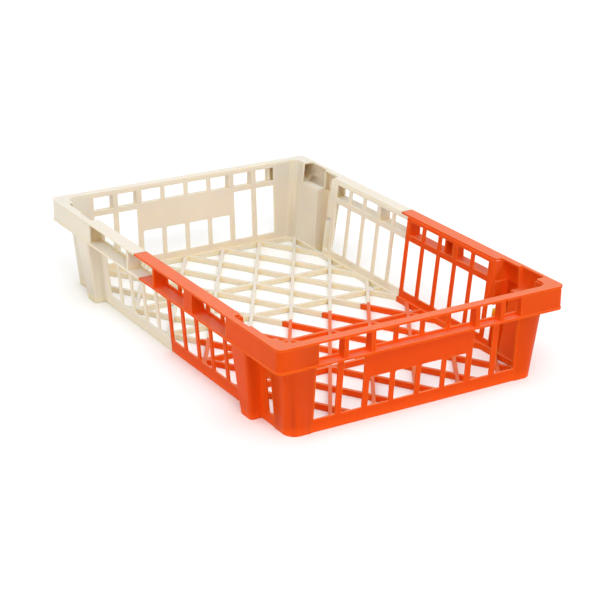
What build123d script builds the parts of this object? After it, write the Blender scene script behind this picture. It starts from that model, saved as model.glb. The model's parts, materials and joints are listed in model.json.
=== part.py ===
from build123d import *
import os
from math import atan2, degrees, isclose

# Shallow stack-and-nest dairy crate, 600 x 400 x 120 mm, moulded in two colours:
# an ivory shot at -X and an orange shot at +X.  X runs along the length, Y across, Z up.
# The origin is on the floor, under the middle of the crate.  All sizes are in millimetres.
# "near" is the long side at -Y, "far" the long side at +Y.

# Outside of the rim, which is also the outside of the crate
length = 600.0
width = 400.0
height = 120.0
rim_corner_radius = 8.0

# Tapered wall shell: half sizes of its outside at the floor and at the rim
floor_half_length = 281.5
floor_half_width = 172.5
rim_half_length = 290.5
rim_half_width = 184.0
shell_corner_radius = 13.0
wall = 2.5
column_proud = 1.0

# Rim: a thin top flange and a thin ledge below it, joined by upright panels, webs and ribs
flange_thickness = 2.6
ledge_top = 92.0
ledge_thickness = 2.4
flange_side_width = 17.5
flange_end_width = 12.0
flange_corner_fillet = 12.0
flange_notch_fillet = 3.4
flange_step_fillet = 1.4
panel_thickness = 2.5
panel_setback = 0.8
rib_thickness = 3.0
end_rib_thickness = 5.5
plain_rib_positions = (-71.0, 0.0)

# Window grid of the long walls
side_bays = 10
side_pitch = 35.3
side_bar = 6.0
side_windows_end = 175.0

# Window grid of the end walls; strong bars carry the ribs of the rim
end_bays = 8
end_pitch = 36.5
end_bar = 6.0
end_strong_bar = 7.5
end_windows_end = 142.5
label_panel_bottom = 54.5
label_half_bays = 2
label_window_radius = 3.0

# Heights of the two rows of windows
long_window_bottom = 16.5
long_window_top = 87.0
long_window_radius = 3.0
small_window_bottom = 94.5
small_window_top = 113.0

# Nesting posts: hollow pilasters on the long walls that widen upwards
post_foot_centre = 206.5
post_foot_half_width = 12.5
post_foot_face = 187.3
post_top_centre = 208.5
post_top_half_width = 18.0
post_top_face = 199.2
post_foot_thickness = 3.0
post_edge_radius = 4.0
post_depth = 45.0

# Rim sockets above the posts and open recesses between the sockets and the corners;
# the web between a socket and its recess starts at socket_web_depth
socket_start = 181.0
socket_wall_end = 190.0
socket_end = 224.5
socket_web_depth = 190.5
recess_end = 266.0
notch_start = 187.0
notch_end = 223.0
notch_depth_near = 192.5
notch_depth_far = 191.0
recess_depth_near = 189.5
recess_depth_far = 195.5
recess_cove_radius = 9.0

# Narrow slots in the solid strips beside the posts
slot_width = 12.5
slot_bottom = 14.0
slot_top = 62.0
near_slot_centre = 241.5
far_slot_centre = 188.0

# Limits between neighbouring sub-parts
post_zone_start = 178.0
column_side_start = 250.0
column_end_start = 145.0
rim_end_limit = 168.0
end_panel_start_near = 147.0
end_panel_start_far = 135.5

# Boxed lug on each long side of the orange shot, with a curved web below it
lug_start = 79.5
lug_width = 19.5
lug_web_drop = 14.0

# Floor lattice: two families of diagonal bars and four cross bars, set slightly off centre
floor_thickness = 7.5
lattice_centre_x = 5.0
lattice_centre_y = -4.2
lattice_pitch_x = 95.6
lattice_pitch_y = 60.7
lattice_bar = 4.4
lattice_bars_each_way = 6
floor_frame_width = 3.0
cross_bar_steps = (-1.5, -0.5, 0.5, 1.5)

# Planes where the two colours meet
wall_seam = -side_bar / 2
flange_seam_near = -50.0
flange_seam_far = -19.5
ledge_seam_near = -38.0

# Values that follow from the ones above
half_length = length / 2
half_width = width / 2
ledge_bottom = ledge_top - ledge_thickness
flange_bottom = height - flange_thickness
side_face = half_width - panel_setback
end_face = half_length - panel_setback
everywhere = 2 * length


def box(x0, x1, y0, y1, z0, z1):
    """An upright box between two corners, given in any order on each axis."""
    centre = Pos((x0 + x1) / 2, (y0 + y1) / 2, (z0 + z1) / 2)
    return centre * Box(abs(x1 - x0), abs(y1 - y0), abs(z1 - z0))


def side_box(side, x0, x1, depth, z0, z1):
    """A box from the middle plane out to a depth on the side y = -1 or +1."""
    return box(x0, x1, 0, side * depth, z0, z1)


def end_box(end, y0, y1, depth, z0, z1):
    """A box from the middle plane out to a depth on the end x = -1 or +1."""
    return box(0, end * depth, y0, y1, z0, z1)


def slab(z0, z1):
    """Everything between two heights."""
    return box(-everywhere, everywhere, -everywhere, everywhere, z0, z1)


def rim_plate(inset, z0, z1):
    """A plate with the rounded outline of the rim, shrunk by inset."""
    outline = RectangleRounded(length - 2 * inset, width - 2 * inset, rim_corner_radius - inset)
    return extrude(Pos(0, 0, z0) * outline, z1 - z0)


def tapered_block(offset):
    """The solid block inside the outer surface of the walls, grown outwards by offset."""
    radius = shell_corner_radius + offset
    foot = RectangleRounded(2 * (floor_half_length + offset), 2 * (floor_half_width + offset), radius)
    top = RectangleRounded(2 * (rim_half_length + offset), 2 * (rim_half_width + offset), radius)
    return loft([foot, Pos(0, 0, height) * top])


def lean(foot_value, top_value, z):
    """A size that grows evenly from the floor to the ledge, at height z."""
    return foot_value + (top_value - foot_value) * z / ledge_bottom


def post_section(end, side, shrink, z):
    """Rounded cross-section of a nesting post at height z, shrunk by the wall thickness."""
    half_x = lean(post_foot_half_width, post_top_half_width, z) - shrink
    face = lean(post_foot_face, post_top_face, z) - shrink
    centre_x = end * lean(post_foot_centre, post_top_centre, z)
    outline = RectangleRounded(2 * half_x, post_depth, post_edge_radius - shrink / 2)
    return Pos(centre_x, side * (face - post_depth / 2), z) * outline


def post_block(end, side, shrink, z0, z1):
    """Leaning block of a nesting post between two heights."""
    return loft([post_section(end, side, shrink, z0), post_section(end, side, shrink, z1)])


shell_outside = tapered_block(0)
shell_inside = tapered_block(-wall)
shell = (shell_outside - shell_inside) & slab(0, flange_bottom)


def bay_span(index, half_bays, pitch, left_bar, right_bar, windows_end):
    """Start and end of one window bay; the outermost bays stop at windows_end."""
    start = -windows_end if index == -half_bays else index * pitch + left_bar / 2
    end = windows_end if index == half_bays - 1 else (index + 1) * pitch - right_bar / 2
    return start, end


def round_corners(window, axis, row, radius):
    """Round the lower (row 0) or upper (row -1) corners of a cutter that runs along an axis."""
    return fillet(window.edges().filter_by(axis).group_by(Axis.Z)[row], radius)


def side_windows(side):
    """Cutters for both rows of windows of one long wall."""
    half_bays = side_bays // 2
    cutters = []
    for index in range(-half_bays, half_bays):
        x0, x1 = bay_span(index, half_bays, side_pitch, side_bar, side_bar, side_windows_end)
        tall = side_box(side, x0, x1, half_width, long_window_bottom, long_window_top)
        cutters.append(round_corners(tall, Axis.Y, 0, long_window_radius))
        cutters.append(side_box(side, x0, x1, half_width, small_window_bottom, small_window_top))
    return cutters


def end_bar_width(index):
    """Width of the bar at a grid index of an end wall."""
    return end_strong_bar if abs(index) >= label_half_bays else end_bar


def end_windows(end):
    """Cutters for the windows of one end wall; those under the label panel are short."""
    half_bays = end_bays // 2
    cutters = []
    for index in range(-half_bays, half_bays):
        left_bar, right_bar = end_bar_width(index), end_bar_width(index + 1)
        y0, y1 = bay_span(index, half_bays, end_pitch, left_bar, right_bar, end_windows_end)
        cutters.append(end_box(end, y0, y1, half_length, small_window_bottom, small_window_top))
        if -label_half_bays <= index < label_half_bays:
            short = end_box(end, y0, y1, half_length, long_window_bottom, label_panel_bottom)
            cutters.append(round_corners(short, Axis.X, -1, label_window_radius))
        else:
            cutters.append(end_box(end, y0, y1, half_length, long_window_bottom, long_window_top))
    return cutters


def side_wall(side):
    """The flat window grid of one long wall, between the two nesting posts."""
    strip = shell & side_box(side, -post_zone_start, post_zone_start, half_width, 0, height)
    return strip - side_windows(side)


def end_wall(end):
    """The window grid and label panel of one end wall, between the corner columns."""
    strip = shell & end_box(end, -column_end_start, column_end_start, half_length, 0, height)
    return strip - end_windows(end)


def slot(centre_x, side):
    """A cutter for a narrow upright slot through a long wall."""
    half = slot_width / 2
    return side_box(side, centre_x - half, centre_x + half, half_width, slot_bottom, slot_top)


def nesting_post(end, side):
    """A hollow post with its foot, and the solid strips of wall on both sides of it."""
    start, stop = end * post_zone_start, end * column_side_start
    strips = shell & side_box(side, start, stop, half_width, 0, height)
    strips = strips - side_box(side, end * socket_wall_end, stop, half_width, ledge_top, height)
    outside = post_block(end, side, 0, 0, ledge_bottom) - shell_outside
    hollow = post_block(end, side, wall, post_foot_thickness, ledge_top)
    post = strips + outside - hollow
    slot_centre = near_slot_centre if side < 0 else far_slot_centre
    return post - slot(end * slot_centre, side)


def corner_column(end, side):
    """A large rounded corner, slightly proud of the walls up to the ledge."""
    start = end * column_side_start
    zone = box(start, end * half_length, side * column_end_start, side * half_width, 0, height)
    proud = tapered_block(column_proud) & slab(0, ledge_bottom)
    recess = side_box(side, start, end * recess_end, half_width, ledge_top, height)
    return ((proud - shell_inside) + shell) & zone - recess


def ledge():
    """The flat ring round the walls at the lower edge of the rim, open over the posts."""
    ring = rim_plate(0, ledge_bottom, ledge_top) - shell_outside
    for end in (-1, 1):
        for side in (-1, 1):
            ring = ring - post_block(end, side, wall, post_foot_thickness, ledge_top)
    return ring


def side_area(side, x0, x1, depth):
    """A flat rectangle from the middle plane out to a depth on the side y = -1 or +1."""
    centre = Pos((x0 + x1) / 2, side * depth / 2)
    return centre * Rectangle(abs(x1 - x0), depth)


def flange_opening():
    """Outline of the opening in the flange, wider over the sockets and the open recesses."""
    opening = Rectangle(length - 2 * flange_end_width, width - 2 * flange_side_width)
    depths = {-1: (notch_depth_near, recess_depth_near), 1: (notch_depth_far, recess_depth_far)}
    for side, (notch_depth, recess_depth) in depths.items():
        for end in (-1, 1):
            notch = side_area(side, end * notch_start, end * notch_end, notch_depth)
            recess = side_area(side, end * notch_end, end * recess_end, recess_depth)
            opening = opening + notch + recess
    corner_radii = {
        half_length - flange_end_width: flange_corner_fillet,
        notch_start: flange_notch_fillet,
        recess_end: flange_notch_fillet,
        notch_end: flange_step_fillet,
    }
    for x, radius in corner_radii.items():
        corners = [corner for corner in opening.vertices() if isclose(abs(corner.X), x, abs_tol=0.01)]
        opening = fillet(corners, radius)
    return opening


def flange():
    """The flat ring on top of the rim."""
    hole = extrude(Pos(0, 0, flange_bottom) * flange_opening(), flange_thickness)
    return rim_plate(0, flange_bottom, height) - hole


def side_web(x, side, thickness):
    """An upright web between ledge and flange on a long side, starting at x."""
    return side_box(side, x, x + thickness, side_face, ledge_top, flange_bottom) - shell_outside


def end_web(y, end, thickness):
    """An upright web between ledge and flange on an end, starting at y."""
    return end_box(end, y, y + thickness, end_face, ledge_top, flange_bottom) - shell_outside


def recess_cove(end, side):
    """A hollow curve that leads from the ledge up to the outer panel of an open recess."""
    back = side_face - panel_thickness
    cove_top = ledge_top + recess_cove_radius
    block = side_box(side, end * socket_end, end * recess_end, side_face, ledge_top, cove_top)
    inner = side_box(side, end * socket_end, end * recess_end, back - recess_cove_radius, ledge_top, cove_top)
    scoop = Rot(0, 90, 0) * Cylinder(recess_cove_radius, everywhere)
    middle = Pos(0, side * (back - recess_cove_radius), cove_top)
    return block - inner - middle * scoop


def rim_corner(end, side):
    """The closed outer panels of the rim round one corner, with the webs on both sides of a socket."""
    outside = rim_plate(panel_setback, ledge_top, flange_bottom)
    inside = rim_plate(panel_setback + panel_thickness, ledge_top, flange_bottom)
    start, stop = end * socket_start, end * half_length
    panel_start = end_panel_start_near if side < 0 else end_panel_start_far
    zone = side_box(side, start, stop, half_width, ledge_top, flange_bottom)
    beside = side_box(side, start, stop, panel_start, ledge_top, flange_bottom)
    corner = (outside - inside) & (zone - beside)
    corner = corner + recess_cove(end, side)
    for web_end in (socket_wall_end, socket_end):
        web_x = web_end - panel_thickness if end > 0 else -web_end
        corner = corner + side_web(web_x, side, panel_thickness)
    middle_start, middle_stop = end * (socket_end - panel_thickness), end * socket_end
    corner = corner - side_box(side, middle_start, middle_stop, socket_web_depth, ledge_top, flange_bottom)
    web_y = panel_start if side > 0 else -panel_start - panel_thickness
    return corner + end_web(web_y, end, panel_thickness)


def boxed_lug(side):
    """A lug of the rim: two ribs closed by a face plate."""
    x0, x1 = lug_start, lug_start + lug_width
    block = side_box(side, x0, x1, side_face, ledge_top, flange_bottom)
    cell_depth = side_face - panel_thickness
    cell = side_box(side, x0 + rib_thickness, x1 - rib_thickness, cell_depth, ledge_top, flange_bottom)
    return block - cell - shell_outside


def lug_web(side):
    """The hollow-curved web that carries the lug from below the ledge."""
    reach = side_face - floor_half_width
    block = side_box(side, lug_start, lug_start + lug_width, side_face,
                     ledge_bottom - lug_web_drop, ledge_bottom)
    scoop = Rot(0, 90, 0) * Cylinder(1, everywhere)
    scoop = scale(scoop, by=(1, reach, lug_web_drop))
    low_tip = Pos(0, side * side_face, ledge_bottom - lug_web_drop)
    return block - low_tip * scoop - shell_outside


def side_ribs(side):
    """All ribs and the lug on one long side."""
    pieces = [side_web(x - rib_thickness / 2, side, rib_thickness) for x in plain_rib_positions]
    pieces.append(boxed_lug(side))
    pieces.append(lug_web(side))
    return Compound(children=pieces)


def end_ribs(end):
    """The four solid ribs of one end, flush with the near edge of its strong bars."""
    pieces = []
    for index in (-3, -2, 2, 3):
        rib_y = index * end_pitch - end_strong_bar / 2
        pieces.append(end_web(rib_y, end, end_rib_thickness))
    return Compound(children=pieces)


def lattice_family(direction):
    """One family of parallel diagonal floor bars; direction is -1 or +1."""
    angle = direction * degrees(atan2(lattice_pitch_y, lattice_pitch_x))
    bars = []
    for index in range(-lattice_bars_each_way, lattice_bars_each_way + 1):
        bar = Rot(0, 0, angle) * Box(everywhere, lattice_bar, floor_thickness)
        bar_x = lattice_centre_x + index * lattice_pitch_x
        bars.append(Pos(bar_x, lattice_centre_y, floor_thickness / 2) * bar)
    return bars


def floor_grid():
    """The open floor inside the walls: frame strip, diagonal bars and cross bars."""
    inside = shell_inside & slab(0, floor_thickness)
    frame = inside - tapered_block(-wall - floor_frame_width)
    half_bar = lattice_bar / 2
    bars = lattice_family(-1) + lattice_family(1)
    for step in cross_bar_steps:
        x = lattice_centre_x + step * lattice_pitch_x
        bars.append(box(x - half_bar, x + half_bar, -half_width, half_width, 0, floor_thickness))
    grid = bars[0]
    for bar in bars[1:]:
        grid = grid + bar
    return (grid & inside) + frame


def between(shape, x0, x1, y0, y1):
    """The part of a shape inside a rectangle seen from above."""
    return shape & box(x0, x1, y0, y1, -everywhere, everywhere)


def side_part(shape, side):
    """The strip of a rim ring along one long side."""
    return between(shape, -everywhere, everywhere, side * rim_end_limit, side * everywhere)


def end_part(shape, end):
    """The strip of a rim ring along one end, between the two side strips."""
    return between(shape, 0, end * everywhere, -rim_end_limit, rim_end_limit)


def save(name, shape):
    """Write one sub-part, which may be a group of separate solids."""
    solids = shape.solids()
    body = solids[0] if len(solids) == 1 else Compound(children=list(solids))
    export_step(body, f"parts/{name}.step")


def save_both(name, shape, seam):
    """Write the ivory and the orange half of a sub-part that crosses the seam."""
    save(f"{name}_ivory", between(shape, -everywhere, seam, -everywhere, everywhere))
    save(f"{name}_orange", between(shape, seam, everywhere, -everywhere, everywhere))


os.makedirs("parts", exist_ok=True)
ledge_ring = ledge()
flange_ring = flange()
ends = {"ivory": -1, "orange": 1}
sides = {"near": -1, "far": 1}
ledge_seams = {"near": ledge_seam_near, "far": wall_seam}
flange_seams = {"near": flange_seam_near, "far": flange_seam_far}

save_both("floor_grid", floor_grid(), wall_seam)

for side_name, side in sides.items():
    save_both(f"side_wall_{side_name}", side_wall(side), wall_seam)
    save_both(f"rim_ledge_{side_name}", side_part(ledge_ring, side), ledge_seams[side_name])
    save_both(f"rim_flange_{side_name}", side_part(flange_ring, side), flange_seams[side_name])
    save_both(f"rim_ribs_{side_name}", side_ribs(side), wall_seam)

for colour, end in ends.items():
    save(f"end_wall_{colour}", end_wall(end))
    save(f"rim_ledge_end_{colour}", end_part(ledge_ring, end))
    save(f"rim_flange_end_{colour}", end_part(flange_ring, end))
    save(f"rim_ribs_end_{colour}", end_ribs(end))
    for side_name, side in sides.items():
        save(f"nesting_post_{side_name}_{colour}", nesting_post(end, side))
        save(f"corner_column_{side_name}_{colour}", corner_column(end, side))
        save(f"rim_corner_{side_name}_{colour}", rim_corner(end, side))
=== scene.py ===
import json
from math import cos, radians, sin

import bmesh
import bpy
from mathutils import Matrix, Vector

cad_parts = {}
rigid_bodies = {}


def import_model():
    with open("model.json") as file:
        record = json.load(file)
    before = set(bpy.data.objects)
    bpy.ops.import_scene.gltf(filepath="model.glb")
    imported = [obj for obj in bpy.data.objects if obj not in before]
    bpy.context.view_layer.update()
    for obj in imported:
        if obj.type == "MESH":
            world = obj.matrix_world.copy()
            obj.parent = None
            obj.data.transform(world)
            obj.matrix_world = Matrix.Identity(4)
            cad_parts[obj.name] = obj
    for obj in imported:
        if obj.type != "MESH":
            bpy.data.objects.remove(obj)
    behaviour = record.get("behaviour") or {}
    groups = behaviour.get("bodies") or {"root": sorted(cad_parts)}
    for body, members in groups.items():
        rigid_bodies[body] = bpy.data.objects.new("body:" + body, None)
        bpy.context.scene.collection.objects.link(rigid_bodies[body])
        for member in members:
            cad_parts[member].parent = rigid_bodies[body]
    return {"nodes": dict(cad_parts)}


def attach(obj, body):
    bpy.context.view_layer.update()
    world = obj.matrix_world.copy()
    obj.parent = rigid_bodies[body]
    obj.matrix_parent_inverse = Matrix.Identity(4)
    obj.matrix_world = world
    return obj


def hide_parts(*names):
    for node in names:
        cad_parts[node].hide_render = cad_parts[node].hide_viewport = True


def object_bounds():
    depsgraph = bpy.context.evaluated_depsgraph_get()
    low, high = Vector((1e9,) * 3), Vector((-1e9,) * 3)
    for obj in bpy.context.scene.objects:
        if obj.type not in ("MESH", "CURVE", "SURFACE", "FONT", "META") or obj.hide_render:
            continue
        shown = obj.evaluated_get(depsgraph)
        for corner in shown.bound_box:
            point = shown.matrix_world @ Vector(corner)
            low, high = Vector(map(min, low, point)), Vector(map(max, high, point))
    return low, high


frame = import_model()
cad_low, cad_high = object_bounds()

# Shallow two-colour dairy crate.  Each moulded colour is one piece, made by joining the
# CAD sections of that colour, so that no section seams show.  Its edges are rounded in
# the material only.  Sizes are in metres.

# Mesh joining: how far a leaning face is pushed into its neighbour, which vertices count
# as one, which upward parts of a normal count as leaning, and which edges stay sharp
nudge = 0.00002
weld_distance = 0.000004
least_lean = 0.01
most_lean = 0.3
flat_angle = radians(0.6)
sharp_angle = radians(35)

# Colours of each plastic: its own colour on the sides, then painted light: a painted sheen on tops,
# a painted warm glow in deep corners and painted highlights on edges
ivory_colours = {
    "side": (0.66, 0.605, 0.50),
    "top": (0.66, 0.62, 0.54),
    "corner": (0.80, 0.69, 0.47),
    "edge": (0.70, 0.66, 0.57),
}
orange_colours = {
    "side": (0.62, 0.063, 0.003),
    "top": (0.66, 0.150, 0.065),
    "corner": (0.86, 0.105, 0.008),
    "edge": (0.78, 0.22, 0.03),
}

# Light carried inside the plastic: how far each colour of it travels, and its share
ivory_scatter = (0.0060, 0.0042, 0.0020)
orange_scatter = (0.0070, 0.0035, 0.0006)
scatter_scale = 1.0
scatter_amount = 0.6

# Gloss of the surface
plastic_roughness = 0.36
roughness_change = 0.06
specular_level = 0.05

# Slow change of tone where the plastic flowed into the mould
flow_scale = 14.0
flow_detail = 4.0
flow_change = 0.05

# Fine grain of the mould
grain_scale = 900.0
grain_detail = 2.0
grain_depth = 0.00006
grain_strength = 0.4

# Painted sheen on tops: upward part of a face's normal where the painted sheen starts and where it
# is full
sheen_start = 0.7
sheen_full = 0.95

# Painted warm glow in corners: reach, and the open share of the surroundings in a deep corner and
# in the open
corner_reach = 0.014
corner_samples = 8
corner_closed = 0.35
corner_open = 0.95

# Painted highlights on edges: rounding radius, and the match of flat and rounded normals at both
# ends of the painted highlight
edge_reach = 0.0009
edge_samples = 4
highlight_start = 0.98
highlight_full = 0.80
highlight_amount = 0.6

# Camera: direction seen from the object, tilt, distance and lens
camera_azimuth = radians(58.119)
camera_elevation = radians(21.854)
camera_roll = radians(0.876)
camera_distance = 2.39025
camera_lens = 106.52
camera_sensor_width = 36.0
camera_target = Vector((-0.070493, 0.056848, 0.0))

# Stage and light
stage_half_size = 6.0
stage_colour = (0.92, 0.92, 0.92, 1.0)
stage_roughness = 0.9
sky_colour = (1.0, 1.0, 1.0, 1.0)
sky_strength = 1.1
key_power = 45.0
key_size = 2.0
key_place = Vector((2.4, -0.7, 2.6))


def leans(face):
    """Whether a face is nearly upright without being quite upright, as drafted walls are."""
    return least_lean < abs(face.normal.z) < most_lean


def push_leaning_faces(bm):
    """Push every leaning face a hair sideways, the way it faces."""
    for face in filter(leans, bm.faces):
        sideways = Vector((face.normal.x, face.normal.y, 0.0))
        for vertex in face.verts:
            if not vertex.tag:
                vertex.co += sideways * nudge
                vertex.tag = True


def section_copy(node):
    """A loose copy of one CAD section, its split vertices joined.

    Floor and rim sections meet the walls on leaning faces.  Those faces are pushed a hair
    into the wall, so that the union finds an overlap there.
    """
    copy = frame["nodes"][node].copy()
    copy.data = copy.data.copy()
    copy.parent = None
    bm = bmesh.new()
    bm.from_mesh(copy.data)
    bmesh.ops.remove_doubles(bm, verts=bm.verts, dist=weld_distance)
    bm.normal_update()
    if node.startswith(("floor", "rim")):
        push_leaning_faces(bm)
    bm.to_mesh(copy.data)
    bm.free()
    return copy


def joined_sections(name, nodes):
    """One closed object that is the union of the CAD sections of one colour."""
    sections = bpy.data.collections.new(name + "_sections")
    bpy.context.scene.collection.children.link(sections)
    piece = section_copy(nodes[0])
    piece.name = name
    bpy.context.scene.collection.objects.link(piece)
    for node in nodes[1:]:
        sections.objects.link(section_copy(node))
    union = piece.modifiers.new("union", "BOOLEAN")
    union.operand_type = "COLLECTION"
    union.operation = "UNION"
    union.solver = "EXACT"
    union.collection = sections
    depsgraph = bpy.context.evaluated_depsgraph_get()
    mesh = bpy.data.meshes.new_from_object(piece.evaluated_get(depsgraph))
    piece.modifiers.clear()
    piece.data = mesh
    for copy in list(sections.objects):
        bpy.data.objects.remove(copy)
    bpy.data.collections.remove(sections)
    return piece


def clean_surface(piece):
    """Merge flat faces, and shade smooth except across real edges."""
    bm = bmesh.new()
    bm.from_mesh(piece.data)
    bmesh.ops.dissolve_limit(bm, angle_limit=flat_angle, verts=bm.verts, edges=bm.edges)
    bm.to_mesh(piece.data)
    bm.free()
    piece.data.shade_smooth()
    piece.data.set_sharp_from_angle(angle=sharp_angle)


def mixed(tree, factor, first, second):
    """Two colours mixed by a factor; each colour is a value or a socket."""
    mix = tree.nodes.new("ShaderNodeMix")
    mix.data_type = "RGBA"
    tree.links.new(factor, mix.inputs["Factor"])
    for name, colour in (("A", first), ("B", second)):
        if isinstance(colour, tuple):
            mix.inputs[name].default_value = (*colour, 1.0)
        else:
            tree.links.new(colour, mix.inputs[name])
    return mix.outputs["Result"]


def ranged(tree, value, low, high, new_low, new_high):
    """A value stretched from one range to another."""
    stretch = tree.nodes.new("ShaderNodeMapRange")
    tree.links.new(value, stretch.inputs["Value"])
    stretch.inputs["From Min"].default_value = low
    stretch.inputs["From Max"].default_value = high
    stretch.inputs["To Min"].default_value = new_low
    stretch.inputs["To Max"].default_value = new_high
    return stretch.outputs["Result"]


def noise(tree, place, scale, detail):
    """A noise pattern of a given scale."""
    texture = tree.nodes.new("ShaderNodeTexNoise")
    texture.inputs["Scale"].default_value = scale
    texture.inputs["Detail"].default_value = detail
    tree.links.new(place, texture.inputs["Vector"])
    return texture.outputs["Fac"]


def flow_tone(tree, flow, colour):
    """A colour that gets a little darker and lighter as the plastic flowed."""
    darker = tuple(c * (1 - flow_change) for c in colour)
    lighter = tuple(c * (1 + flow_change) for c in colour)
    return mixed(tree, flow, darker, lighter)


def painted_top_sheen(tree, normal):
    """How much painted sheen a face gets: 0 on sides, 1 on tops."""
    direction = tree.nodes.new("ShaderNodeSeparateXYZ")
    tree.links.new(normal, direction.inputs["Vector"])
    return ranged(tree, direction.outputs["Z"], sheen_start, sheen_full, 0.0, 1.0)


def openness(tree):
    """How open a place is: 0 deep in a corner, 1 away from corners."""
    shade = tree.nodes.new("ShaderNodeAmbientOcclusion")
    shade.inputs["Distance"].default_value = corner_reach
    shade.samples = corner_samples
    return ranged(tree, shade.outputs["AO"], corner_closed, corner_open, 0.0, 1.0)


def rounded_normal(tree):
    """The surface normal, turned at the edges as if they were rounded."""
    rounded = tree.nodes.new("ShaderNodeBevel")
    rounded.samples = edge_samples
    rounded.inputs["Radius"].default_value = edge_reach
    return rounded.outputs["Normal"]


def edge_wear(tree, rounded):
    """How much painted highlight a place gets: 0 on faces, most where the rounded normal turns
    away.
    """
    facing = tree.nodes.new("ShaderNodeNewGeometry").outputs["Normal"]
    match = tree.nodes.new("ShaderNodeVectorMath")
    match.operation = "DOT_PRODUCT"
    tree.links.new(rounded, match.inputs[0])
    tree.links.new(facing, match.inputs[1])
    return ranged(tree, match.outputs["Value"], highlight_start, highlight_full, 0.0, highlight_amount)


def grained(tree, place, normal):
    """A normal with the fine grain of the mould added to it."""
    bump = tree.nodes.new("ShaderNodeBump")
    bump.inputs["Strength"].default_value = grain_strength
    bump.inputs["Distance"].default_value = grain_depth
    tree.links.new(noise(tree, place, grain_scale, grain_detail), bump.inputs["Height"])
    tree.links.new(normal, bump.inputs["Normal"])
    return bump.outputs["Normal"]


def plastic(name, colours, scatter):
    """Satin moulded plastic with light inside it, plus painted light: a painted warm glow in
    corners, a painted sheen on tops and painted highlights on edges.
    """
    material = bpy.data.materials.new(name)
    material.use_nodes = True
    tree = material.node_tree
    shader = tree.nodes["Principled BSDF"]
    shader.inputs["Subsurface Weight"].default_value = scatter_amount
    shader.inputs["Subsurface Radius"].default_value = scatter
    shader.inputs["Subsurface Scale"].default_value = scatter_scale
    shader.inputs["Specular IOR Level"].default_value = specular_level

    coordinates = tree.nodes.new("ShaderNodeTexCoord")
    place = coordinates.outputs["Object"]
    rounded = rounded_normal(tree)
    flow = noise(tree, place, flow_scale, flow_detail)
    body = flow_tone(tree, flow, colours["side"])
    # painted sheen: upward faces made paler, as if they caught a sheen of light
    body = mixed(tree, painted_top_sheen(tree, coordinates.outputs["Normal"]), body, colours["top"])
    # painted glow: deep corners made warmer and brighter, as if light gathered there
    body = mixed(tree, openness(tree), colours["corner"], body)
    # painted highlights: edges made paler, as if catching the light
    body = mixed(tree, edge_wear(tree, rounded), body, colours["edge"])
    smoothest = plastic_roughness - roughness_change
    roughest = plastic_roughness + roughness_change

    tree.links.new(body, shader.inputs["Base Color"])
    tree.links.new(ranged(tree, flow, 0.0, 1.0, smoothest, roughest), shader.inputs["Roughness"])
    tree.links.new(grained(tree, place, rounded), shader.inputs["Normal"])
    return material


def make_moulding(colour, material):
    """The whole moulding of one colour, standing in for its CAD sections."""
    sections = sorted(node for node in frame["nodes"] if node.endswith(colour))
    piece = joined_sections(colour + "_moulding", sections)
    clean_surface(piece)
    piece.data.materials.clear()
    piece.data.materials.append(material)
    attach(piece, "root")
    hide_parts(*sections)


def make_floor():
    """A plain pale floor under the crate."""
    bpy.ops.mesh.primitive_plane_add(size=2 * stage_half_size, location=(0, 0, cad_low.z))
    floor = bpy.context.object
    floor.name = "studio_floor"
    material = bpy.data.materials.new("studio_floor")
    material.use_nodes = True
    shader = material.node_tree.nodes["Principled BSDF"]
    shader.inputs["Base Color"].default_value = stage_colour
    shader.inputs["Roughness"].default_value = stage_roughness
    floor.data.materials.append(material)


def make_light():
    """Soft light from all round, and one large lamp."""
    world = bpy.data.worlds.new("studio")
    world.use_nodes = True
    background = world.node_tree.nodes["Background"]
    background.inputs["Color"].default_value = sky_colour
    background.inputs["Strength"].default_value = sky_strength
    bpy.context.scene.world = world
    lamp = bpy.data.lights.new("key", "AREA")
    lamp.energy = key_power
    lamp.size = key_size
    key = bpy.data.objects.new("key", lamp)
    key.location = key_place
    key.rotation_euler = (-key_place).to_track_quat("-Z", "Y").to_euler()
    bpy.context.scene.collection.objects.link(key)


def make_camera():
    """The camera, tilted slightly about its own line of sight."""
    back = Vector((sin(camera_azimuth) * cos(camera_elevation),
                   -cos(camera_azimuth) * cos(camera_elevation),
                   sin(camera_elevation)))
    data = bpy.data.cameras.new("camera")
    data.lens = camera_lens
    data.sensor_width = camera_sensor_width
    camera = bpy.data.objects.new("camera", data)
    turn = (-back).to_track_quat("-Z", "Y").to_matrix() @ Matrix.Rotation(camera_roll, 3, "Z")
    camera.matrix_world = Matrix.Translation(camera_target + back * camera_distance) @ turn.to_4x4()
    bpy.context.scene.collection.objects.link(camera)
    bpy.context.scene.camera = camera


ivory = plastic("ivory_plastic", ivory_colours, ivory_scatter)
orange = plastic("orange_plastic", orange_colours, orange_scatter)
make_moulding("ivory", ivory)
make_moulding("orange", orange)
make_floor()
make_light()
make_camera()
bpy.context.scene.view_settings.view_transform = "Standard"
